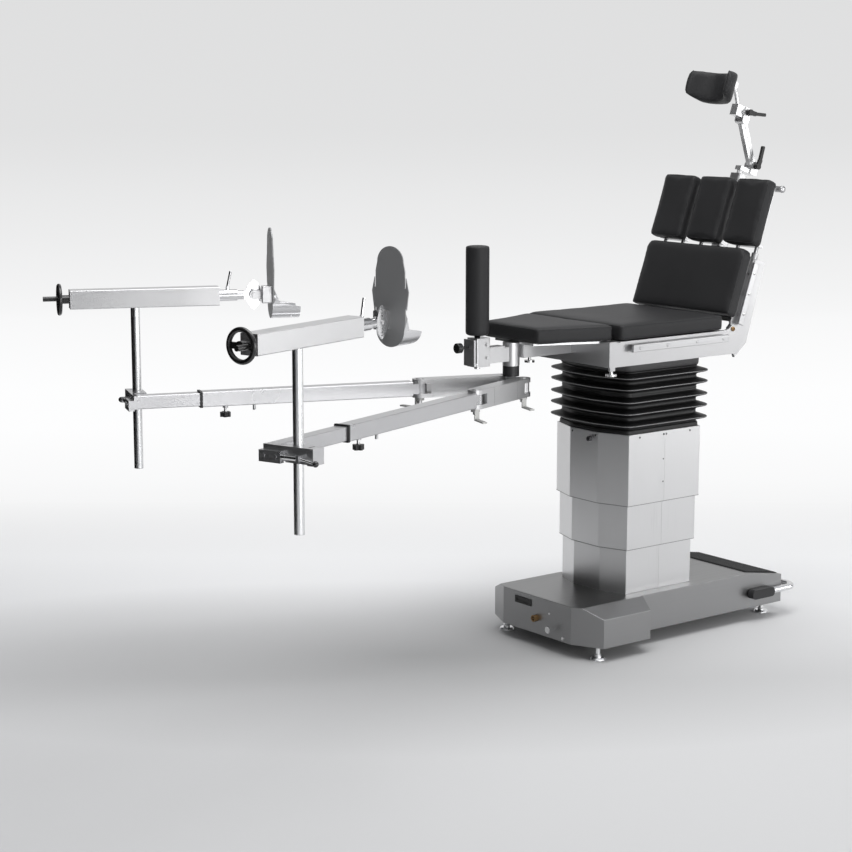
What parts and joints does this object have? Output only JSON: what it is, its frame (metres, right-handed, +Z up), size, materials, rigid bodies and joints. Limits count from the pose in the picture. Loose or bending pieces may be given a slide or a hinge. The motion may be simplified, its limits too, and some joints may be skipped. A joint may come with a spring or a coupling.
{
  "type": "orthopaedic operating table",
  "caption": "Column-mounted operating table with raised back, headrest, perineal post and two jointed leg traction arms that end in foot holders.",
  "frame": {"origin": "on the floor, under the axis of the telescopic column", "axes": "+Z up, +X towards the head end of the table, +Y the side of the patient's left arm"},
  "size_m": [2.7145, 1.3871, 1.988],
  "materials": {
    "cast_base": "matt",
    "base_steel": "brushed",
    "foot_steel": "turned",
    "mat_rubber": "matt",
    "fittings": "matt",
    "bar_steel": "polished",
    "grip_plastic": "matt",
    "column_steel": "brushed",
    "mast_metal": "satin",
    "pivot_steel": "turned",
    "bellows_rubber": "glossy",
    "frame_metal": "satin",
    "rail_steel": "brushed",
    "beam_metal": "satin",
    "knob_steel": "polished",
    "pad_skin": "matt vinyl",
    "knob_plastic": "glossy",
    "head_metal": "satin",
    "lever_plastic": "matt",
    "arm_metal": "satin",
    "tube_steel": "brushed",
    "pin_lever_metal": "satin",
    "star_plastic": "matt",
    "clamp_steel": "polished",
    "upright_steel": "satin",
    "unit_metal": "satin",
    "wheel_plastic": "glossy",
    "spindle_steel": "polished",
    "sole_metal": "satin"
  },
  "bodies": {
    "base": {"base_chassis": "cast_base", "base_cover": "base_steel", "base_skirt": "base_steel", "leveling_feet": "foot_steel", "deck_mat": "mat_rubber", "panel_fittings": "fittings", "cover_lower": "column_steel"},
    "lock_bar": {"pedal_bar": "bar_steel", "pedal_grips": "grip_plastic"},
    "column_middle": {"cover_middle": "column_steel"},
    "column_top": {"mast_inner": "mast_metal", "cover_upper": "column_steel", "bellows": "bellows_rubber"},
    "tilt_cross": {"gimbal": "pivot_steel"},
    "table": {"table_frame": "frame_metal", "side_rails": "rail_steel", "main_pad": "pad_skin", "pelvic_pad": "pad_skin", "leg_beam": "beam_metal"},
    "frame_screw_right": {"frame_knob_right": "knob_steel"},
    "frame_screw_left": {"frame_knob_left": "knob_steel"},
    "post": {"perineal_post": "pad_skin"},
    "post_screw": {"post_knob": "knob_plastic"},
    "back": {"back_frame": "frame_metal", "back_pad": "pad_skin"},
    "shoulder_right": {"shoulder_pad_right": "pad_skin"},
    "shoulder_middle": {"shoulder_pad_middle": "pad_skin"},
    "shoulder_left": {"shoulder_pad_left": "pad_skin"},
    "head_carrier": {"head_post": "head_metal"},
    "head_link": {"head_arm": "head_metal"},
    "head_holder": {"head_tube": "head_metal"},
    "head_rest": {"head_cushion": "pad_skin"},
    "low_clamp": {"head_lever_low": "lever_plastic"},
    "top_clamp": {"head_lever_top": "lever_plastic"},
    "arm_link_right": {"link_right": "arm_metal"},
    "pivot_clamp_right": {"pivot_lever_right": "pin_lever_metal"},
    "arm_tube_right": {"outer_tube_right": "tube_steel"},
    "fork_clamp_right": {"fork_lever_right": "pin_lever_metal"},
    "tube_screw_right": {"star_knob_right": "star_plastic"},
    "arm_slider_right": {"inner_tube_right": "tube_steel"},
    "rod_clamp_right": {"clamp_lever_right": "clamp_steel"},
    "rod_right": {"upright_right": "upright_steel"},
    "traction_unit_right": {"unit_housing_right": "unit_metal"},
    "wheel_right": {"handwheel_right": "wheel_plastic"},
    "traction_spindle_right": {"spindle_right": "spindle_steel"},
    "foot_swivel_right": {"foot_joint_right": "spindle_steel"},
    "foot_holder_right": {"foot_plate_right": "sole_metal"},
    "arm_link_left": {"link_left": "arm_metal"},
    "pivot_clamp_left": {"pivot_lever_left": "pin_lever_metal"},
    "arm_tube_left": {"outer_tube_left": "tube_steel"},
    "fork_clamp_left": {"fork_lever_left": "pin_lever_metal"},
    "tube_screw_left": {"star_knob_left": "star_plastic"},
    "arm_slider_left": {"inner_tube_left": "tube_steel"},
    "rod_clamp_left": {"clamp_lever_left": "clamp_steel"},
    "rod_left": {"upright_left": "upright_steel"},
    "traction_unit_left": {"unit_housing_left": "unit_metal"},
    "wheel_left": {"handwheel_left": "wheel_plastic"},
    "traction_spindle_left": {"spindle_left": "spindle_steel"},
    "foot_swivel_left": {"foot_joint_left": "spindle_steel"},
    "foot_holder_left": {"foot_plate_left": "sole_metal"}
  },
  "joints": [
    {"name": "floor_lock", "type": "hinge", "parent": "base", "child": "lock_bar", "pos_m": [0.44, 0, 0.105], "axis": [0, 1, 0], "range_deg": [-8, 8]},
    {"name": "column_lift", "type": "slide", "parent": "base", "child": "column_top", "axis": [0, 0, 1], "range_m": [-0.25, 0.04]},
    {"name": "cover_follow", "type": "slide", "parent": "base", "child": "column_middle", "axis": [0, 0, 1], "range_m": [-0.125, 0.02]},
    {"name": "trendelenburg", "type": "hinge", "parent": "column_top", "child": "tilt_cross", "pos_m": [0, 0, 0.87], "axis": [0, -1, 0], "range_deg": [-20, 12], "deforming": ["bellows"]},
    {"name": "lateral_tilt", "type": "hinge", "parent": "tilt_cross", "child": "table", "pos_m": [0, 0, 0.87], "axis": [1, 0, 0], "range_deg": [-18, 18], "deforming": ["bellows"]},
    {"name": "frame_screw_turn_right", "type": "hinge", "parent": "table", "child": "frame_screw_right", "pos_m": [-0.281, -0.212, 0.99], "axis": [0, 0, 1], "range_deg": [-180, 180]},
    {"name": "frame_screw_turn_left", "type": "hinge", "parent": "table", "child": "frame_screw_left", "pos_m": [-0.281, 0.212, 0.99], "axis": [0, 0, 1], "range_deg": [-180, 180]},
    {"name": "post_height", "type": "slide", "parent": "table", "child": "post", "axis": [0, 0, 1], "range_m": [0, 0.06]},
    {"name": "post_screw_turn", "type": "hinge", "parent": "table", "child": "post_screw", "pos_m": [-0.74, 0, 1.079], "axis": [1, 0, 0], "range_deg": [-180, 180]},
    {"name": "back_raise", "type": "hinge", "parent": "table", "child": "back", "pos_m": [0.272, 0, 1.087], "axis": [0, -1, 0], "range_deg": [-70.6, 4]},
    {"name": "shoulder_right_slide", "type": "slide", "parent": "back", "child": "shoulder_right", "axis": [0.3322, 0, 0.9432], "range_m": [0, 0.045]},
    {"name": "shoulder_middle_slide", "type": "slide", "parent": "back", "child": "shoulder_middle", "axis": [0.3322, 0, 0.9432], "range_m": [0, 0.045]},
    {"name": "shoulder_left_slide", "type": "slide", "parent": "back", "child": "shoulder_left", "axis": [0.3322, 0, 0.9432], "range_m": [0, 0.045]},
    {"name": "head_height", "type": "slide", "parent": "back", "child": "head_carrier", "axis": [0.3322, 0, 0.9432], "range_m": [0, 0.07]},
    {"name": "head_link_turn", "type": "hinge", "parent": "head_carrier", "child": "head_link", "pos_m": [0.59024, 0, 1.63543], "axis": [0, -1, 0], "range_deg": [-35, 35]},
    {"name": "head_holder_turn", "type": "hinge", "parent": "head_link", "child": "head_holder", "pos_m": [0.53454, 0, 1.80241], "axis": [0, -1, 0], "range_deg": [-35, 35]},
    {"name": "head_rest_turn", "type": "hinge", "parent": "head_holder", "child": "head_rest", "pos_m": [0.47909, 0, 1.92796], "axis": [0, -1, 0], "range_deg": [-25, 25]},
    {"name": "low_clamp_turn", "type": "hinge", "parent": "head_carrier", "child": "low_clamp", "pos_m": [0.59024, -0.029, 1.63543], "axis": [0, -1, 0], "range_deg": [-40, 40]},
    {"name": "top_clamp_turn", "type": "hinge", "parent": "head_holder", "child": "top_clamp", "pos_m": [0.54417, -0.029, 1.82977], "axis": [0, -1, 0], "range_deg": [-40, 40]},
    {"name": "arm_swing_right", "type": "hinge", "parent": "table", "child": "arm_link_right", "pos_m": [-0.53, -0.0465, 0.934], "axis": [0, 0, 1], "range_deg": [-15, 60]},
    {"name": "pivot_clamp_turn_right", "type": "hinge", "parent": "arm_link_right", "child": "pivot_clamp_right", "pos_m": [-0.53, -0.0465, 0.897], "axis": [0, 0, 1], "range_deg": [-40, 40]},
    {"name": "arm_elbow_right", "type": "hinge", "parent": "arm_link_right", "child": "arm_tube_right", "pos_m": [-0.81544, -0.14814, 0.934], "axis": [0, 0, 1], "range_deg": [-40, 40]},
    {"name": "fork_clamp_turn_right", "type": "hinge", "parent": "arm_link_right", "child": "fork_clamp_right", "pos_m": [-0.81544, -0.14814, 0.897], "axis": [0, 0, 1], "range_deg": [-40, 40]},
    {"name": "tube_screw_turn_right", "type": "hinge", "parent": "arm_tube_right", "child": "tube_screw_right", "pos_m": [-1.44003, -0.37055, 0.89], "axis": [0, 0, 1], "range_deg": [-180, 180]},
    {"name": "arm_length_right", "type": "slide", "parent": "arm_tube_right", "child": "arm_slider_right", "axis": [-0.9421, -0.3355, 0], "range_m": [-0.29, 0.06]},
    {"name": "rod_clamp_turn_right", "type": "hinge", "parent": "arm_slider_right", "child": "rod_clamp_right", "pos_m": [-1.83529, -0.5856, 0.9255], "axis": [0.3355, -0.9421, 0], "range_deg": [-90, 90]},
    {"name": "rod_height_right", "type": "slide", "parent": "arm_slider_right", "child": "rod_right", "axis": [0, 0, 1], "range_m": [-0.21, 0.18]},
    {"name": "unit_swivel_right", "type": "hinge", "parent": "rod_right", "child": "traction_unit_right", "pos_m": [-1.79567, -0.5821, 1.26], "axis": [0, 0, 1], "range_deg": [-45, 45]},
    {"name": "wheel_turn_right", "type": "hinge", "parent": "traction_unit_right", "child": "wheel_right", "pos_m": [-2.02392, -0.65627, 1.26], "axis": [0.9511, 0.309, 0], "range_deg": [-1440, 7200]},
    {"name": "spindle_travel_right", "type": "slide", "parent": "traction_unit_right", "child": "traction_spindle_right", "axis": [0.9511, 0.309, 0], "range_m": [-0.02, 0.1]},
    {"name": "foot_roll_right", "type": "hinge", "parent": "traction_spindle_right", "child": "foot_swivel_right", "pos_m": [-1.46755, -0.47549, 1.26], "axis": [0.9511, 0.309, 0], "range_deg": [-45, 45]},
    {"name": "foot_tilt_right", "type": "hinge", "parent": "foot_swivel_right", "child": "foot_holder_right", "pos_m": [-1.42761, -0.46252, 1.26], "axis": [-0.309, 0.9511, 0], "range_deg": [-30, 30]},
    {"name": "arm_swing_left", "type": "hinge", "parent": "table", "child": "arm_link_left", "pos_m": [-0.53, 0.0465, 0.934], "axis": [0, 0, 1], "range_deg": [-60, 15]},
    {"name": "pivot_clamp_turn_left", "type": "hinge", "parent": "arm_link_left", "child": "pivot_clamp_left", "pos_m": [-0.53, 0.0465, 0.897], "axis": [0, 0, 1], "range_deg": [-40, 40]},
    {"name": "arm_elbow_left", "type": "hinge", "parent": "arm_link_left", "child": "arm_tube_left", "pos_m": [-0.81544, 0.14814, 0.934], "axis": [0, 0, 1], "range_deg": [-40, 40]},
    {"name": "fork_clamp_turn_left", "type": "hinge", "parent": "arm_link_left", "child": "fork_clamp_left", "pos_m": [-0.81544, 0.14814, 0.897], "axis": [0, 0, 1], "range_deg": [-40, 40]},
    {"name": "tube_screw_turn_left", "type": "hinge", "parent": "arm_tube_left", "child": "tube_screw_left", "pos_m": [-1.44003, 0.37055, 0.89], "axis": [0, 0, 1], "range_deg": [-180, 180]},
    {"name": "arm_length_left", "type": "slide", "parent": "arm_tube_left", "child": "arm_slider_left", "axis": [-0.9421, 0.3355, 0], "range_m": [-0.16, 0.19]},
    {"name": "rod_clamp_turn_left", "type": "hinge", "parent": "arm_slider_left", "child": "rod_clamp_left", "pos_m": [-1.71, 0.54098, 0.9255], "axis": [0.3355, 0.9421, 0], "range_deg": [-90, 90]},
    {"name": "rod_height_left", "type": "slide", "parent": "arm_slider_left", "child": "rod_left", "axis": [0, 0, 1], "range_m": [-0.21, 0.18]},
    {"name": "unit_swivel_left", "type": "hinge", "parent": "rod_left", "child": "traction_unit_left", "pos_m": [-1.67037, 0.53749, 1.26], "axis": [0, 0, 1], "range_deg": [-45, 45]},
    {"name": "wheel_turn_left", "type": "hinge", "parent": "traction_unit_left", "child": "wheel_left", "pos_m": [-1.89063, 0.6328, 1.26], "axis": [0.9178, -0.3971, 0], "range_deg": [-1440, 7200]},
    {"name": "spindle_travel_left", "type": "slide", "parent": "traction_unit_left", "child": "traction_spindle_left", "axis": [0.9178, -0.3971, 0], "range_m": [-0.02, 0.1]},
    {"name": "foot_roll_left", "type": "hinge", "parent": "traction_spindle_left", "child": "foot_swivel_left", "pos_m": [-1.35375, 0.40047, 1.26], "axis": [0.9178, -0.3971, 0], "range_deg": [-45, 45]},
    {"name": "foot_tilt_left", "type": "hinge", "parent": "foot_swivel_left", "child": "foot_holder_left", "pos_m": [-1.3152, 0.38379, 1.26], "axis": [-0.3971, -0.9178, 0], "range_deg": [-30, 30]}
  ],
  "couplings": [
    {"joint": "cover_follow", "follows": "column_lift", "ratio": 0.5},
    {"joint": "wheel_turn_right", "follows": "spindle_travel_right", "rad_per_m": 1256.6},
    {"joint": "wheel_turn_left", "follows": "spindle_travel_left", "rad_per_m": 1256.6}
  ]
}
